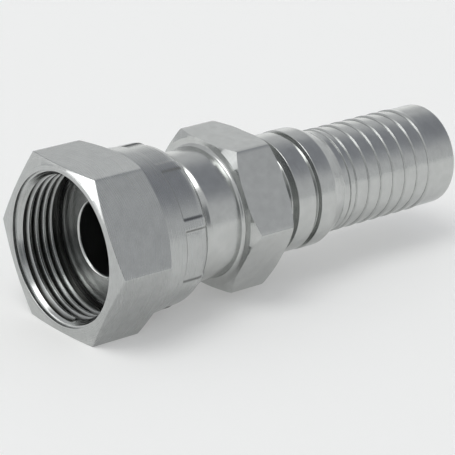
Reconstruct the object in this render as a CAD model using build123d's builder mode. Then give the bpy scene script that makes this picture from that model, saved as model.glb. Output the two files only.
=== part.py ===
from build123d import *
from math import radians, sqrt, tan
import os

# Swivel end fitting for a crimped hydraulic hose, in two pieces, in millimetres.
# The insert is turned from hexagonal bar: a flat sealing nose, a neck, a spanner
# hexagon, a grooved land that a crimped ferrule locks on, and a serrated tail.
# The nut turns freely on the insert. Eight dies pressed its skirt in behind the
# nose, so that the skirt's lip keeps the nut on.
# The axis is X. The origin is the centre of the sealing face, +X points towards
# the hose tail, and both hexagons lie with a flat facing -Z.

# Clearance between the nut and the insert, measured square to their surfaces
swivel_gap = 0.35

# Insert: walls and steps, outwards from the bore
bore_radius = 8.9
bore_lip_chamfer = 0.4
bore_end_chamfer = 0.5
tail_wall = 3.95
lock_groove_wall = 3.5
swivel_groove_wall = 5.7
nose_step = 1.6
nose_chamfer = 0.25
neck_step = 1.4
neck_flare = 1.0
spanner_step = 2.0
spanner_face_step = 0.2
spanner_chamfer_angle = 30.0

# Insert: locking groove, land, slot and collar under the ferrule
land_step = 2.4
slot_step = 1.2
collar_step = 2.55

# Insert: lengths, from the sealing face to the tail
head_length = 11.4
neck_rise_length = 2.2
neck_length = 12.25
spanner_length = 12.75
lock_groove_length = 5.7
land_length = 5.5
slot_length = 1.7
collar_length = 4.6
collar_slope_length = 4.8
tail_neck_length = 4.05
tail_end_length = 9.1
tail_end_chamfer = 1.0
tail_end_chamfer_angle = 30.0

# Insert: serrations of the tail, from the surface of its plain end
tooth_count = 7
tooth_pitch = 4.12
tooth_crest_height = 0.2
tooth_root_depth = 0.15
tooth_face_length = 0.15

# Nut: mouth and thread, with the thread as a plain bore at its inner diameter
seat_depth = 12.1
nose_room = 0.95
mouth_step = 1.5
mouth_chamfer = 0.7
lead_length = 2.0
thread_run_in = 0.5
thread_length = 7.2
relief_depth = 1.45
relief_length = 2.35

# Nut: hexagon
flat_wall = 1.85
face_width = 1.15
nut_hexagon_length = 14.0
nut_front_chamfer_angle = 12.5
nut_rear_chamfer_angle = 35.0

# Nut: skirt and lip
skirt_step = 0.1
skirt_band_length = 0.8
skirt_wall = 3.45
lip_length = 4.75
lip_round_length = 4.0
lip_knee_length = 1.2
lip_knee_drop = 1.15
lip_wall = 1.4

# Nut: marks of the crimping dies
die_count = 8
die_mark_length = 8.3
die_mark_depth = 0.45
ridge_angle = 8.0
first_ridge_angle = 25.0

# Radii of the insert
tail_radius = bore_radius + tail_wall
tooth_crest_radius = tail_radius + tooth_crest_height
tooth_root_radius = tail_radius - tooth_root_depth
lock_groove_radius = bore_radius + lock_groove_wall
land_radius = lock_groove_radius + land_step
slot_radius = lock_groove_radius + slot_step
collar_radius = lock_groove_radius + collar_step
swivel_groove_radius = bore_radius + swivel_groove_wall
nose_radius = swivel_groove_radius + nose_step
neck_radius = swivel_groove_radius + neck_step
spanner_flats = 2 * (neck_radius + spanner_step)
spanner_face_radius = spanner_flats / 2 + spanner_face_step

# Radii of the nut. Its walls are counted outwards from the nose, so that they follow it.
nut_bore_radius = nose_radius + swivel_gap
lip_inner_radius = swivel_groove_radius + swivel_gap
lip_outer_radius = lip_inner_radius + lip_wall
thread_radius = nose_radius + nose_room
relief_radius = thread_radius + relief_depth
mouth_radius = thread_radius + mouth_step
lead_radius = mouth_radius - mouth_chamfer
nut_face_radius = mouth_radius + face_width
nut_flats = 2 * (mouth_radius + flat_wall)
skirt_radius = nut_flats / 2 - skirt_step
skirt_rear_radius = nut_bore_radius + skirt_wall

# Places along the axis, insert
groove_front = head_length + nose_radius - swivel_groove_radius
lip_slope_front = head_length + swivel_gap * (sqrt(2) - 1)
lip_front = lip_slope_front + nut_bore_radius - lip_inner_radius
nut_rear = lip_front + lip_length
groove_rear = nut_rear + swivel_gap
neck_front = groove_rear + neck_rise_length
spanner_front = nut_rear + neck_length
spanner_rear = spanner_front + spanner_length
land_front = spanner_rear + lock_groove_length
land_rear = land_front + land_length
collar_front = land_rear + slot_length
collar_rear = collar_front + collar_length
tail_front = collar_rear + collar_slope_length
first_tooth = tail_front + tail_neck_length
last_tooth = first_tooth + (tooth_count - 1) * tooth_pitch
tail_end = last_tooth + tail_end_length

# Places along the axis, nut
nut_front = -seat_depth
nut_length = nut_rear - nut_front
hexagon_rear = nut_front + nut_hexagon_length
lead_front = nut_front + mouth_chamfer
lead_rear = lead_front + lead_length
thread_front = lead_rear + thread_run_in
thread_rear = thread_front + thread_length
relief_rear = thread_rear + relief_length
die_mark_front = nut_rear - die_mark_length
lip_round_front = nut_rear - lip_round_length
lip_knee = nut_rear - lip_knee_length


def corner_radius(across_flats):
    """Radius through the corners of a hexagon, with room for a cone to pass outside them."""
    return across_flats / sqrt(3) + 1


def cone_length(inner_radius, outer_radius, angle):
    """Length along the axis of a chamfer that leans by angle from the end face."""
    return (outer_radius - inner_radius) * tan(radians(angle))


# Spanner hexagon of the insert, chamfered at both ends, as a ring round the turned bar
spanner_corner = corner_radius(spanner_flats)
spanner_chamfer = cone_length(spanner_face_radius, spanner_corner, spanner_chamfer_angle)
with BuildPart() as spanner_hexagon:
    with BuildSketch(Plane.YZ.offset(spanner_front)):
        RegularPolygon(radius=spanner_flats / 2, side_count=6, major_radius=False)
    extrude(amount=spanner_length)
    with BuildSketch(Plane.XZ):
        with BuildLine():
            Polyline(
                (spanner_front, neck_radius),
                (spanner_front, spanner_face_radius),
                (spanner_front + spanner_chamfer, spanner_corner),
                (spanner_rear - spanner_chamfer, spanner_corner),
                (spanner_rear, spanner_face_radius),
                (spanner_rear, neck_radius),
                close=True,
            )
        make_face()
    revolve(axis=Axis.X, mode=Mode.INTERSECT)

# Insert: one turned section, with the hexagon added round it
tail_end_drop = tail_end_chamfer * tan(radians(tail_end_chamfer_angle))
with BuildPart() as hose_insert:
    with BuildSketch(Plane.XZ):
        with BuildLine():
            # Lip of the bore, sealing face, nose, swivel groove and neck
            Polyline(
                (bore_lip_chamfer, bore_radius),
                (0, bore_radius + bore_lip_chamfer),
                (0, nose_radius - nose_chamfer),
                (nose_chamfer, nose_radius),
                (head_length, nose_radius),
                (groove_front, swivel_groove_radius),
                (groove_rear, swivel_groove_radius),
                (neck_front, neck_radius),
                (spanner_front - neck_flare, neck_radius),
                (spanner_front, neck_radius + neck_flare),
            )
            # Under the hexagon, then the groove, land, slot and collar for the ferrule
            Polyline(
                (spanner_front, neck_radius + neck_flare),
                (spanner_rear, neck_radius + neck_flare),
                (spanner_rear, lock_groove_radius),
                (land_front, lock_groove_radius),
                (land_front, land_radius),
                (land_rear, land_radius),
                (land_rear, slot_radius),
                (collar_front, slot_radius),
                (collar_front, collar_radius),
                (collar_rear, collar_radius),
                (tail_front, tail_radius),
                (first_tooth - tooth_pitch / 2, tail_radius),
            )
            # Serrations: each has a steep face towards the hexagon and falls away gently
            # towards the end of the tail. The first one starts half a pitch early.
            foot = (first_tooth - tooth_pitch / 2, tail_radius)
            for tooth in range(-1, tooth_count):
                steep_face = first_tooth + tooth * tooth_pitch
                if tooth < 0:
                    steep_face = first_tooth - tooth_pitch / 2
                next_face = first_tooth + (tooth + 1) * tooth_pitch
                next_foot = (next_face, tooth_root_radius)
                if tooth == tooth_count - 1:
                    next_foot = (last_tooth + tooth_pitch / 3, tail_radius)
                crest = (steep_face + tooth_face_length, tooth_crest_radius)
                Polyline(foot, crest, next_foot)
                foot = next_foot
            # Plain chamfered end and the bore
            Polyline(
                foot,
                (tail_end - tail_end_chamfer, tail_radius),
                (tail_end, tail_radius - tail_end_drop),
                (tail_end, bore_radius + bore_end_chamfer),
                (tail_end - bore_end_chamfer, bore_radius),
                (bore_lip_chamfer, bore_radius),
            )
        make_face()
    revolve(axis=Axis.X)
    add(spanner_hexagon.part)
hose_insert.part.label = "hose_insert"

# Nut: hexagonal bar turned to its outline, bored, and pressed in by the dies
nut_corner = corner_radius(nut_flats)
front_chamfer = cone_length(nut_face_radius, nut_corner, nut_front_chamfer_angle)
rear_chamfer = cone_length(skirt_radius, nut_flats / sqrt(3), nut_rear_chamfer_angle)
rear_overrun = cone_length(nut_flats / sqrt(3), nut_corner, nut_rear_chamfer_angle)
with BuildPart() as swivel_nut:
    with BuildSketch(Plane.YZ.offset(nut_front)):
        RegularPolygon(radius=nut_flats / 2, side_count=6, major_radius=False)
    extrude(amount=nut_length)
    with BuildSketch(Plane.XZ):
        with BuildLine():
            Polyline(
                (nut_front, 0),
                (nut_front, nut_face_radius),
                (nut_front + front_chamfer, nut_corner),
                (hexagon_rear - rear_overrun, nut_corner),
                (hexagon_rear + rear_chamfer, skirt_radius),
                (hexagon_rear + rear_chamfer + skirt_band_length, skirt_radius),
                (die_mark_front, skirt_rear_radius),
                (lip_round_front, skirt_rear_radius),
                (lip_knee, skirt_rear_radius - lip_knee_drop),
                (nut_rear, lip_outer_radius),
                (nut_rear, 0),
                close=True,
            )
        make_face()
    revolve(axis=Axis.X, mode=Mode.INTERSECT)
    # Mouth, thread, relief, bore round the nose and the lip behind it
    with BuildSketch(Plane.XZ):
        with BuildLine():
            Polyline(
                (nut_front, 0),
                (nut_front, mouth_radius),
                (lead_front, lead_radius),
                (lead_rear, lead_radius),
                (thread_front, thread_radius),
                (thread_rear, thread_radius),
                (thread_rear, relief_radius),
                (relief_rear, relief_radius),
                (relief_rear, nut_bore_radius),
                (lip_slope_front, nut_bore_radius),
                (lip_front, lip_inner_radius),
                (nut_rear, lip_inner_radius),
                (nut_rear, 0),
                close=True,
            )
        make_face()
    revolve(axis=Axis.X, mode=Mode.SUBTRACT)
    # Pressed zones between the ridges. A section plane turned by 0 stands at 90 degrees.
    die_pitch = 360 / die_count
    floor_radius = skirt_rear_radius - die_mark_depth
    clear_radius = skirt_radius + 1
    for mark in range(die_count):
        start_angle = first_ridge_angle + ridge_angle / 2 + mark * die_pitch
        with BuildSketch(Plane.XZ.rotated((start_angle - 90, 0, 0))):
            with BuildLine():
                Polyline(
                    (nut_rear, clear_radius),
                    (die_mark_front, clear_radius),
                    (die_mark_front, skirt_rear_radius),
                    (die_mark_front + die_mark_depth, floor_radius),
                    (lip_round_front, floor_radius),
                    (lip_knee, floor_radius - lip_knee_drop),
                    (nut_rear, lip_outer_radius - die_mark_depth),
                    close=True,
                )
            make_face()
        revolve(
            axis=Axis.X,
            revolution_arc=die_pitch - ridge_angle,
            mode=Mode.SUBTRACT,
        )
swivel_nut.part.label = "swivel_nut"

os.makedirs("parts", exist_ok=True)
for piece in (hose_insert, swivel_nut):
    export_step(piece.part, f"parts/{piece.part.label}.step")

print(f"overall length {tail_end - nut_front:.2f}, nut length {nut_length:.2f}")
print(f"sealing face to tail end {tail_end:.2f}, spanner hexagon from {spanner_front:.2f}")
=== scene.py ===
"""The looks of a hydraulic swivel crimp fitting: zinc-plated steel, turned and pressed.

The origin is the centre of the sealing face. +X runs along the axis to the hose tail, and +Z is up.
Sizes are in millimetres here and become metres where a mesh is made.
"""
import math

import bmesh
import bpy
from mathutils import Matrix, Vector


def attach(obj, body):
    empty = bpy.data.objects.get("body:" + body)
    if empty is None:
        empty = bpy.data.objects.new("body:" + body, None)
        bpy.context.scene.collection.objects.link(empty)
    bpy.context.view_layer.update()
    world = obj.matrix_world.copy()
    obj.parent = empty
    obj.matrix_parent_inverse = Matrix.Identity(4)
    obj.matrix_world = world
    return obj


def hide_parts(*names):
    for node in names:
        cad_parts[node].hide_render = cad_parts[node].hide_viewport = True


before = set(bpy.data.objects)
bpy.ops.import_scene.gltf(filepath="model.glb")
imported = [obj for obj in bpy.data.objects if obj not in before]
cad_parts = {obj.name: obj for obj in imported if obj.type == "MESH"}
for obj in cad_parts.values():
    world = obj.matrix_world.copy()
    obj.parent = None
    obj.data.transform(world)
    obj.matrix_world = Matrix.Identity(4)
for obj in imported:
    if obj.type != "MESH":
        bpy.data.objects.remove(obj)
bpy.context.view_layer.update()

MM = 0.001
FULL_TURN = 2 * math.pi
SIXTH = math.radians(60)
TWELFTH = math.radians(30)

# The camera: what it looks at, from how far and which side, and how it leans
camera_target = Vector((38.60, 0.0, -6.00)) * MM
camera_distance = 615.74 * MM
camera_azimuth = math.radians(-40.743)
camera_height = math.radians(21.41)
camera_roll = math.radians(2.048)
camera_lens = 200.37

# The nut's hexagon
nut_front = -12.1
nut_apothem = 20.5
nut_face_radius = 19.8
nut_front_chamfer = math.radians(12.5)
nut_corner_radius = nut_apothem / math.cos(TWELFTH)
nut_corner_rear = 1.9
nut_rear_chamfer = math.radians(35)

# The nut's skirt and the lip pressed in behind the nose
band_radius = 20.4
band_front = nut_corner_rear + (nut_corner_radius - band_radius) * math.tan(nut_rear_chamfer)
band_rear = 4.99
skirt_front = 8.995
skirt_radius = 20.0
die_front = 9.595
skirt_knee = 13.895
nut_rear = 17.895
lip_outer_radius = 16.35
lip_inner_radius = 14.95
die_count = 8
die_depth = 0.45
die_crease = math.radians(1.2)
ridge_angle = math.radians(25)
ridge_width = math.radians(8)

# The nut's inside
mouth_radius = 18.65
mouth_rear = -11.1
lead_rear = -9.4
lead_angle = math.radians(33)
crest_radius = 17.15
root_radius = 18.26
thread_pitch = 25.4 / 12
thread_turns = 7
thread_rear = -1.7
first_crest = -8.12
thread_start = math.radians(-112)
thread_fade = math.radians(30)
relief_radius = 18.6
relief_rear = 0.65
nut_bore_radius = 16.55
nut_bore_rear = 11.545
lip_front = 13.145

# The insert, from the sealing face to the tail
bore_radius = 8.9
nose_radius = 16.2
nose_rear = 11.4
groove_front = 13.0
groove_rear = 18.245
groove_radius = 14.6
neck_front = 20.445
neck_radius = 16.0
spanner_front = 30.145
spanner_rear = 42.895
spanner_apothem = 18.0
spanner_face_radius = 18.2
spanner_chamfer = math.radians(30)
lock_radius = 12.4
land_front = 48.595
land_radius = 14.8
slot_front = 54.095
slot_rear = 55.795
slot_radius = 13.6
collar_rear = 60.395
collar_radius = 14.95
tail_front = 65.195
tail_radius = 12.85
tail_end = 103.065
tooth_radius = 13.05
front_tooth = 67.185
first_tooth = 69.245
tooth_pitch = 4.12
tooth_count = 7
last_tooth_rear = 95.34

# How finely the pieces are turned, and how far their hexagons' corners are broken
nut_steps = 600
insert_steps = 360
thread_steps = 240
corner_break = 0.05
softened_corner_break = 0.03
half_turn = Matrix.Rotation(math.pi, 3, "X")


def wire(mesh, corners, closed=False):
    """Joins (x, radius, rounding) corners by edges in the half plane y > 0, and rounds each corner."""
    verts = [mesh.verts.new((x * MM, radius * MM, 0)) for x, radius, rounding in corners]
    pairs = list(zip(verts, verts[1:]))
    if closed:
        pairs.append((verts[-1], verts[0]))
    for start, end in pairs:
        mesh.edges.new((start, end))
    for vert, (x, radius, rounding) in zip(verts, corners):
        if rounding:
            bmesh.ops.bevel(
                mesh, geom=[vert], offset=rounding * MM, offset_type="OFFSET",
                affect="VERTICES", segments=4, profile=0.5, material=-1,
            )


def spin_round(mesh, steps, lead=0.0):
    """Turns everything in the mesh once about the X axis, a twelfth at a time, rising by lead in mm."""
    parts = 12
    rise = lead * MM / parts
    bmesh.ops.spin(
        mesh, geom=mesh.verts[:] + mesh.edges[:], cent=(0, 0, 0), axis=(1, 0, 0),
        dvec=(rise / (steps // parts), 0, 0), angle=FULL_TURN / parts, steps=steps // parts,
    )
    twelfth = mesh.verts[:] + mesh.edges[:] + mesh.faces[:]
    for part in range(1, parts):
        made = bmesh.ops.duplicate(mesh, geom=twelfth)["geom"]
        verts = [item for item in made if isinstance(item, bmesh.types.BMVert)]
        turn = Matrix.Rotation(FULL_TURN * part / parts, 3, "X")
        bmesh.ops.rotate(mesh, verts=verts, cent=(0, 0, 0), matrix=turn)
        bmesh.ops.translate(mesh, verts=verts, vec=(rise * part, 0, 0))
    bmesh.ops.remove_doubles(mesh, verts=mesh.verts[:], dist=1e-6)


def radius_of(vert):
    return math.hypot(vert.co.y, vert.co.z)


def angle_of(vert):
    return math.atan2(vert.co.z, vert.co.y) % FULL_TURN


def place(vert, x, radius, angle):
    vert.co = Vector((x, radius * math.cos(angle), radius * math.sin(angle))) * MM


def ring(mesh, x, radius):
    """The vertices of one turned ring."""
    return [
        v for v in mesh.verts
        if abs(v.co.x - x * MM) < 1e-6 and abs(radius_of(v) - radius * MM) < 1e-6
    ]


def hexagon_radius(angle, apothem):
    """The hexagon's radius at an angle, with its corner line broken by a little."""
    from_flat = (angle % SIXTH) - TWELFTH
    sharp = apothem / math.cos(from_flat)
    return min(sharp, apothem / math.cos(TWELFTH) - corner_break)


def cut_hexagon(mesh, verts, apothem, cone, rounding):
    """Moves a turned ring to the line where a chamfer cone cuts the hexagon, and softens that edge.

    cone gives the cone's x for a radius. The bevel can overshoot at a corner, so its vertices are kept in.
    """
    for vert in verts:
        angle = angle_of(vert)
        radius = hexagon_radius(angle, apothem)
        place(vert, cone(radius), radius, angle)
    on_ring = set(verts)
    soft = [e for e in mesh.edges if e.verts[0] in on_ring and e.verts[1] in on_ring]
    bmesh.ops.bevel(
        mesh, geom=soft, offset=rounding * MM, offset_type="OFFSET", affect="EDGES",
        segments=3, profile=0.5, material=-1, clamp_overlap=False,
    )
    limit = apothem / math.cos(TWELFTH) - softened_corner_break
    for vert in mesh.verts:
        if radius_of(vert) > limit * MM:
            place(vert, vert.co.x / MM, limit, angle_of(vert))
    bmesh.ops.remove_doubles(mesh, verts=mesh.verts[:], dist=0.004 * MM)


def mark_flats(mesh, apothem, front, rear):
    """Gives the six flats the second material."""
    mesh.normal_update()
    for face in mesh.faces:
        centre = face.calc_center_median()
        outside = math.hypot(centre.y, centre.z) > (apothem - 0.1) * MM
        if not outside or not front * MM < centre.x < rear * MM:
            continue
        angle = math.atan2(centre.z, centre.y)
        flat = TWELFTH + math.floor(angle / SIXTH) * SIXTH
        if face.normal.dot(Vector((0, math.cos(flat), math.sin(flat)))) > 0.9995:
            face.material_index = 1


def smooth_step(value, start, end):
    share = min(max((value - start) / (end - start), 0.0), 1.0)
    return share * share * (3 - 2 * share)


def finished(name, mesh, materials):
    """Makes a piece of the mesh, with smooth turned surfaces and crisp edges."""
    bmesh.ops.recalc_face_normals(mesh, faces=mesh.faces[:])
    data = bpy.data.meshes.new(name)
    for face in mesh.faces:
        face.smooth = True
    mesh.to_mesh(data)
    mesh.free()
    for material in materials:
        data.materials.append(material)
    data.set_sharp_from_angle(angle=math.radians(26))
    piece = bpy.data.objects.new(name, data)
    bpy.context.scene.collection.objects.link(piece)
    normals = piece.modifiers.new("Even normals", "WEIGHTED_NORMAL")
    normals.keep_sharp = True
    return piece


# The nut

def skirt_surface(x, angle):
    """The pressed skirt's radius: ridges between the dies, and a shallow floor under each die.

    The second value says how near a die's edge the point is, from 0 to 1, and sets the painted shade along
    the die's step.
    """
    nearest = (angle - ridge_angle + FULL_TURN / die_count / 2) % (FULL_TURN / die_count)
    from_ridge = abs(nearest - FULL_TURN / die_count / 2)
    pressed = smooth_step(from_ridge, ridge_width / 2 - die_crease, ridge_width / 2 + die_crease)
    pressed *= smooth_step(x, die_front - 0.15, die_front + 0.35)
    floor = skirt_radius - die_depth
    lip_bend = nut_rear - skirt_knee
    down = min(max((x - skirt_knee) / lip_bend, 0.0), 1.0)
    bend = 1 - math.sqrt(max(1 - down * down, 0.0))
    ridge = skirt_radius - (skirt_radius - lip_outer_radius) * bend
    under_die = floor - (floor - lip_outer_radius) * bend
    at_step = 4 * pressed * (1 - pressed) * smooth_step(skirt_knee + 2.2 - x, 0.0, 1.0)
    return ridge + (under_die - ridge) * pressed, at_step


def thread(mesh):
    """One right-hand thread between the lead and the relief, as a strip wound along the axis.

    The layer made here says how deep a point lies, and the steel's colour darkens with it: painted shade in
    the thread's grooves.
    """
    half_crest = thread_pitch / 8
    flank = (root_radius - crest_radius) * math.tan(math.radians(30))
    start = first_crest - 2.5 * thread_pitch
    corners = [
        (start, crest_radius, 0),
        (start + half_crest, crest_radius, 0.06),
        (start + half_crest + flank, root_radius, 0.10),
        (start + thread_pitch - half_crest - flank, root_radius, 0.10),
        (start + thread_pitch - half_crest, crest_radius, 0.06),
        (start + thread_pitch, crest_radius, 0),
    ]
    wire(mesh, corners)
    bmesh.ops.rotate(mesh, verts=mesh.verts[:], cent=(0, 0, 0), matrix=half_turn)
    spin_round(mesh, thread_steps, lead=thread_pitch)
    one_turn = mesh.verts[:] + mesh.edges[:] + mesh.faces[:]
    for turn in range(1, thread_turns):
        made = bmesh.ops.duplicate(mesh, geom=one_turn)["geom"]
        verts = [item for item in made if isinstance(item, bmesh.types.BMVert)]
        bmesh.ops.translate(mesh, verts=verts, vec=(turn * thread_pitch * MM, 0, 0))
    bmesh.ops.remove_doubles(mesh, verts=mesh.verts[:], dist=1e-6)
    for x, side in ((mouth_rear, -1), (thread_rear, 1)):
        bmesh.ops.bisect_plane(
            mesh, geom=mesh.verts[:] + mesh.edges[:] + mesh.faces[:], dist=1e-7,
            plane_co=(x * MM, 0, 0), plane_no=(side, 0, 0), clear_outer=True,
        )
    painted_shade = mesh.verts.layers.float.new("painted_shade")
    for vert in mesh.verts:
        x = vert.co.x / MM
        angle = angle_of(vert)
        turns_in = (x - first_crest) / thread_pitch - angle / FULL_TURN
        along = angle + FULL_TURN * round(turns_in + 0.5)
        cut = smooth_step(along, thread_start, thread_start + thread_fade)
        radius = crest_radius + (radius_of(vert) / MM - crest_radius) * cut
        lead = crest_radius + (lead_rear - x) * math.tan(lead_angle)
        place(vert, x, max(radius, lead), angle)
        # Painted shade: deeper points, towards the roots, get a darker colour.
        vert[painted_shade] = smooth_step(max(radius, lead) - max(crest_radius, lead), 0.05, 0.45)
    # Slivers beside the front cut are merged, so that the lead's edge stays even
    near_cut = [v for v in mesh.verts if v.co.x < (mouth_rear + 0.05) * MM]
    bmesh.ops.remove_doubles(mesh, verts=near_cut, dist=0.03 * MM)


def make_nut(materials):
    """The nut: a turned profile with a hexagon, a pressed skirt and the thread joined in."""
    mesh = bmesh.new()
    thread(mesh)
    thread_mesh = bpy.data.meshes.new("thread_strip")
    mesh.to_mesh(thread_mesh)
    mesh.free()

    mesh = bmesh.new()
    front_ring_x = nut_front + 0.5
    bridge = 0.12
    corners = [
        (mouth_rear - bridge, mouth_radius, 0),
        (nut_front, mouth_radius, 0.10),
        (nut_front, nut_face_radius, 0.12),
        (front_ring_x, nut_apothem, 0),
        (nut_corner_rear, nut_apothem, 0),
        (band_front, band_radius, 0),
        (band_rear, band_radius, 0.12),
        (skirt_front, skirt_radius, 0),
        (nut_rear, skirt_radius, 0),
        (nut_rear, lip_inner_radius, 0.12),
        (lip_front, lip_inner_radius, 0.3),
        (nut_bore_rear, nut_bore_radius, 0.3),
        (relief_rear, nut_bore_radius, 0.12),
        (relief_rear, relief_radius, 0.12),
        (thread_rear + bridge, relief_radius, 0),
    ]
    wire(mesh, corners)
    skirt_edges = [
        e for e in mesh.edges
        if min(v.co.x for v in e.verts) > (skirt_front - 0.1) * MM
        and all(abs(v.co.y - skirt_radius * MM) < 1e-7 for v in e.verts)
    ]
    bmesh.ops.subdivide_edges(mesh, edges=skirt_edges, cuts=44)
    bmesh.ops.rotate(mesh, verts=mesh.verts[:], cent=(0, 0, 0), matrix=half_turn)
    spin_round(mesh, nut_steps)
    cut_hexagon(
        mesh, ring(mesh, front_ring_x, nut_apothem), nut_apothem,
        lambda radius: nut_front + (radius - nut_face_radius) * math.tan(nut_front_chamfer), 0.12,
    )
    cut_hexagon(
        mesh, ring(mesh, nut_corner_rear, nut_apothem), nut_apothem,
        lambda radius: nut_corner_rear + (nut_corner_radius - radius) * math.tan(nut_rear_chamfer), 0.05,
    )
    # Painted shade: dark lines along the dies' steps on the skirt, and a dark relief groove behind the
    # thread.
    painted_shade = mesh.verts.layers.float.new("painted_shade")
    for vert in mesh.verts:
        x = vert.co.x / MM
        if x > die_front - 0.5 and abs(radius_of(vert) - skirt_radius * MM) < 1e-6:
            radius, at_step = skirt_surface(x, angle_of(vert))
            place(vert, x, radius, angle_of(vert))
            # Painted shade along the die's step
            vert[painted_shade] = 0.75 * at_step
        elif thread_rear <= x <= relief_rear and crest_radius < radius_of(vert) / MM < relief_radius + 0.01:
            # Painted shade in the relief groove
            vert[painted_shade] = 0.9
    mesh.from_mesh(thread_mesh)
    bpy.data.meshes.remove(thread_mesh)
    # Each end of the thread is joined to the turned profile's open end, which stops just short of it
    for x in (mouth_rear, thread_rear):
        open_edges = [
            e for e in mesh.edges
            if e.is_boundary and all(abs(v.co.x - x * MM) < (bridge + 0.01) * MM for v in e.verts)
        ]
        bmesh.ops.bridge_loops(mesh, edges=open_edges)
    bmesh.ops.holes_fill(mesh, edges=[e for e in mesh.edges if e.is_boundary], sides=0)
    mark_flats(mesh, nut_apothem, nut_front, band_front)
    nut = finished("nut_body", mesh, materials)
    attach(nut, "nut")
    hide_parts("swivel_nut")
    return nut


# The insert

def make_insert(materials):
    """The insert: one closed turned profile, with the spanner hexagon cut on it."""
    mesh = bmesh.new()
    front_ring_x = spanner_front + 1.0
    rear_ring_x = spanner_rear - 1.0
    corners = [
        (0, bore_radius, 0.6),
        (0, nose_radius, 0.25),
        (nose_rear, nose_radius, 0.3),
        (groove_front, groove_radius, 0.4),
        (groove_rear, groove_radius, 0.5),
        (neck_front, neck_radius, 0.3),
        (spanner_front, neck_radius, 1.0),
        (spanner_front, spanner_face_radius, 0),
        (front_ring_x, spanner_apothem, 0),
        (rear_ring_x, spanner_apothem, 0),
        (spanner_rear, spanner_face_radius, 0),
        (spanner_rear, lock_radius, 0.4),
        (land_front, lock_radius, 0.4),
        (land_front, land_radius, 0.2),
        (slot_front, land_radius, 0.2),
        (slot_front, slot_radius, 0.15),
        (slot_rear, slot_radius, 0.15),
        (slot_rear, collar_radius, 0.2),
        (collar_rear, collar_radius, 0.4),
        (tail_front, tail_radius, 0.4),
        (front_tooth - 0.35, tail_radius, 0),
        (front_tooth - 0.15, 12.62, 0.05),
        (front_tooth, tooth_radius, 0.06),
    ]
    for tooth in range(tooth_count):
        crest = first_tooth + tooth * tooth_pitch
        corners += [(crest - 0.15, 12.70, 0.05), (crest, tooth_radius, 0.06)]
    corners += [
        (last_tooth_rear, tail_radius, 0.3),
        (tail_end, tail_radius, 0.7),
        (tail_end, bore_radius, 0.4),
    ]
    wire(mesh, corners, closed=True)
    spin_round(mesh, insert_steps)
    # The end faces' round edges are kept just inside the flats
    for x in (spanner_front, spanner_rear):
        for vert in ring(mesh, x, spanner_face_radius):
            flat = hexagon_radius(angle_of(vert), spanner_apothem) - 0.14
            place(vert, vert.co.x / MM, min(spanner_face_radius, flat), angle_of(vert))

    def chamfer_depth(radius):
        return max((radius - spanner_face_radius) * math.tan(spanner_chamfer), 0.10)

    cut_hexagon(
        mesh, ring(mesh, front_ring_x, spanner_apothem), spanner_apothem,
        lambda radius: spanner_front + chamfer_depth(radius), 0.08,
    )
    cut_hexagon(
        mesh, ring(mesh, rear_ring_x, spanner_apothem), spanner_apothem,
        lambda radius: spanner_rear - chamfer_depth(radius), 0.08,
    )
    mark_flats(mesh, spanner_apothem, spanner_front, spanner_rear)
    insert = finished("insert_body", mesh, materials)
    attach(insert, "insert")
    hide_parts("hose_insert")
    return insert


# Materials

def node(tree, kind, sockets=None, **settings):
    """A node with its settings, and with values or links on its sockets."""
    made = tree.nodes.new(kind)
    for name, value in settings.items():
        setattr(made, name, value)
    for name, value in (sockets or {}).items():
        if isinstance(value, bpy.types.NodeSocket):
            tree.links.new(value, made.inputs[name])
        else:
            made.inputs[name].default_value = value
    return made


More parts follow.
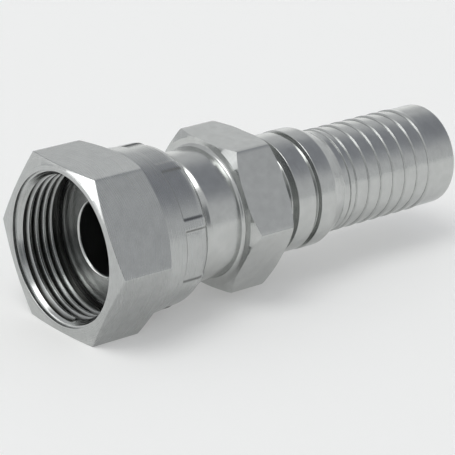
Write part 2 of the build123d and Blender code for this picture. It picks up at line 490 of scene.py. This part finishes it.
def steel(name, colour, roughness, streaks):
    """Zinc-plated steel, with rings on turned work or streaks along a drawn flat, and painted shade
    darkening it to near black in hollows.
    """
    material = bpy.data.materials.new(name)
    material.use_nodes = True
    tree = material.node_tree
    shader = tree.nodes["Principled BSDF"]
    shader.inputs["Metallic"].default_value = 1.0
    place_on_piece = node(tree, "ShaderNodeTexCoord").outputs["Object"]
    split = node(tree, "ShaderNodeSeparateXYZ", {0: place_on_piece})
    if streaks:
        stretched = node(tree, "ShaderNodeMapping", {"Vector": place_on_piece, "Scale": (60, 900, 900)})
        marks = node(tree, "ShaderNodeTexNoise", {"Vector": stretched.outputs[0], "Scale": 1.0, "Detail": 3})
        marks = marks.outputs[0]
    else:
        across = split.outputs[1]
        up = split.outputs[2]
        squared = node(tree, "ShaderNodeMath", {0: across, 1: across}, operation="MULTIPLY").outputs[0]
        out = node(tree, "ShaderNodeMath", {0: up, 1: up, 2: squared}, operation="MULTIPLY_ADD")
        radius = node(tree, "ShaderNodeMath", {0: out.outputs[0]}, operation="SQRT")
        along_profile = {0: split.outputs[0], 1: radius.outputs[0]}
        travel = node(tree, "ShaderNodeMath", along_profile, operation="ADD")
        marks = node(
            tree, "ShaderNodeTexNoise", {"W": travel.outputs[0], "Scale": 3500.0, "Detail": 3},
            noise_dimensions="1D",
        ).outputs[0]
    mottle = node(tree, "ShaderNodeTexNoise", {"Vector": place_on_piece, "Scale": 420.0, "Detail": 5})
    base = node(tree, "ShaderNodeMix", {"Factor": mottle.outputs[0]}, data_type="RGBA")
    dark = tuple(c * 0.86 for c in colour)
    light = tuple(min(c * 1.12, 1) for c in colour)
    base.inputs[6].default_value = (*dark, 1)
    base.inputs[7].default_value = (*light, 1)
    # Painted shade: the layer's value mixes the colour towards near black in the thread's grooves, the
    # relief and the dies' steps.
    painted_shade = node(tree, "ShaderNodeAttribute", attribute_name="painted_shade").outputs["Fac"]
    shaded = node(tree, "ShaderNodeMix", {"Factor": painted_shade}, data_type="RGBA")
    tree.links.new(base.outputs[2], shaded.inputs[6])
    shaded.inputs[7].default_value = (0.05, 0.05, 0.046, 1)
    tree.links.new(shaded.outputs[2], shader.inputs["Base Color"])
    rough = node(
        tree, "ShaderNodeMapRange",
        {
            "Value": marks, "From Min": 0.3, "From Max": 0.7,
            "To Min": roughness * 0.8, "To Max": roughness * 1.25,
        },
    )
    tree.links.new(rough.outputs[0], shader.inputs["Roughness"])
    bump = node(tree, "ShaderNodeBump", {"Height": marks, "Strength": 0.12, "Distance": 0.00004})
    tree.links.new(bump.outputs[0], shader.inputs["Normal"])
    return material


# The stage

def soft_patch(tree, direction, azimuth, height, inner, outer, colour):
    """Light, or less of it, from round one direction, fading out from the inner angle to the outer."""
    a = math.radians(azimuth)
    h = math.radians(height)
    centre = (math.cos(a) * math.cos(h), math.sin(a) * math.cos(h), math.sin(h))
    near = node(tree, "ShaderNodeVectorMath", {0: direction, 1: centre}, operation="DOT_PRODUCT")
    share = node(
        tree, "ShaderNodeMapRange",
        {
            "Value": near.outputs["Value"], "From Min": math.cos(math.radians(outer)),
            "From Max": math.cos(math.radians(inner)), "To Min": 0.0, "To Max": 1.0,
        },
        interpolation_type="SMOOTHSTEP",
    )
    return node(
        tree, "ShaderNodeVectorMath", {0: colour, "Scale": share.outputs[0]}, operation="SCALE"
    ).outputs[0]


def light_room():
    """A pale studio with two darker areas and three soft lights.

    Each patch has an azimuth, a height, an inner and an outer angle in degrees, and the light it adds.
    """
    world = bpy.data.worlds.new("Studio")
    world.use_nodes = True
    tree = world.node_tree
    direction = node(tree, "ShaderNodeTexCoord").outputs["Generated"]
    total = node(tree, "ShaderNodeCombineXYZ", {0: 0.63, 1: 0.64, 2: 0.65}).outputs[0]
    patches = [
        (-13, 51, 6, 44, (-0.32, -0.32, -0.30)),
        (-125, 14, 5, 22, (-0.45, -0.45, -0.45)),
        (55, -4, 4, 30, (0.38, 0.38, 0.36)),
        (162, 24, 5, 12, (0.9, 0.9, 0.9)),
        (-172, 68, 10, 22, (3.4, 3.4, 3.35)),
    ]
    for azimuth, height, inner, outer, colour in patches:
        patch = soft_patch(tree, direction, azimuth, height, inner, outer, colour)
        total = node(tree, "ShaderNodeVectorMath", {0: total, 1: patch}, operation="ADD").outputs[0]
    background = tree.nodes["Background"]
    tree.links.new(total, background.inputs["Color"])
    background.inputs["Strength"].default_value = 1.0
    bpy.context.scene.world = world


def side_lamp():
    """A small square lamp, low beside the mouth, that the nut's front chamfer mirrors."""
    data = bpy.data.lights.new("side lamp", "AREA")
    data.size = 0.085
    data.energy = 0.075
    lamp = bpy.data.objects.new("side lamp", data)
    bpy.context.scene.collection.objects.link(lamp)
    lamp.location = (-0.214, 0.137, -0.002)
    aim = Vector((-0.012, -0.010, 0.018)) - lamp.location
    lamp.rotation_euler = aim.to_track_quat("-Z", "Y").to_euler()
    lamp.visible_camera = False


def lay_floor():
    """A pale floor that the nut's lower flat lies on."""
    mesh = bmesh.new()
    bmesh.ops.create_grid(mesh, x_segments=1, y_segments=1, size=2.0)
    bmesh.ops.translate(mesh, verts=mesh.verts[:], vec=(0.04, 0, -nut_apothem * MM))
    data = bpy.data.meshes.new("floor")
    mesh.to_mesh(data)
    mesh.free()
    floor = bpy.data.objects.new("floor", data)
    bpy.context.scene.collection.objects.link(floor)
    material = bpy.data.materials.new("Pale paper")
    material.use_nodes = True
    tree = material.node_tree
    shader = tree.nodes["Principled BSDF"]
    shader.inputs["Base Color"].default_value = (0.74, 0.74, 0.73, 1)
    shader.inputs["Roughness"].default_value = 0.9
    shader.inputs["Emission Color"].default_value = (1, 1, 1, 1)
    shader.inputs["Emission Strength"].default_value = 0.22
    data.materials.append(material)


def set_camera():
    """Puts the camera where the fit to the photo has it."""
    back = Vector((
        math.sin(camera_azimuth) * math.cos(camera_height),
        -math.cos(camera_azimuth) * math.cos(camera_height),
        math.sin(camera_height),
    ))
    level = Vector((math.cos(camera_azimuth), math.sin(camera_azimuth), 0))
    upright = back.cross(level)
    right = level * math.cos(camera_roll) + upright * math.sin(camera_roll)
    up = upright * math.cos(camera_roll) - level * math.sin(camera_roll)
    data = bpy.data.cameras.new("camera")
    data.lens = camera_lens
    data.sensor_width = 36.0
    data.clip_start = 0.01
    camera = bpy.data.objects.new("camera", data)
    bpy.context.scene.collection.objects.link(camera)
    eye = camera_target + back * camera_distance
    turn = Matrix((right, up, back)).transposed().to_4x4()
    camera.matrix_world = Matrix.Translation(eye) @ turn
    bpy.context.scene.camera = camera


set_camera()
turned_nut = steel("Turned zinc, nut", (0.48, 0.49, 0.485), 0.24, streaks=False)
drawn_nut = steel("Drawn flats, nut", (0.47, 0.475, 0.495), 0.38, streaks=True)
turned_insert = steel("Turned zinc, insert", (0.54, 0.55, 0.54), 0.20, streaks=False)
drawn_insert = steel("Drawn flats, insert", (0.47, 0.48, 0.475), 0.32, streaks=True)
make_nut([turned_nut, drawn_nut])
make_insert([turned_insert, drawn_insert])
light_room()
side_lamp()
lay_floor()
bpy.context.scene.view_settings.view_transform = "Standard"
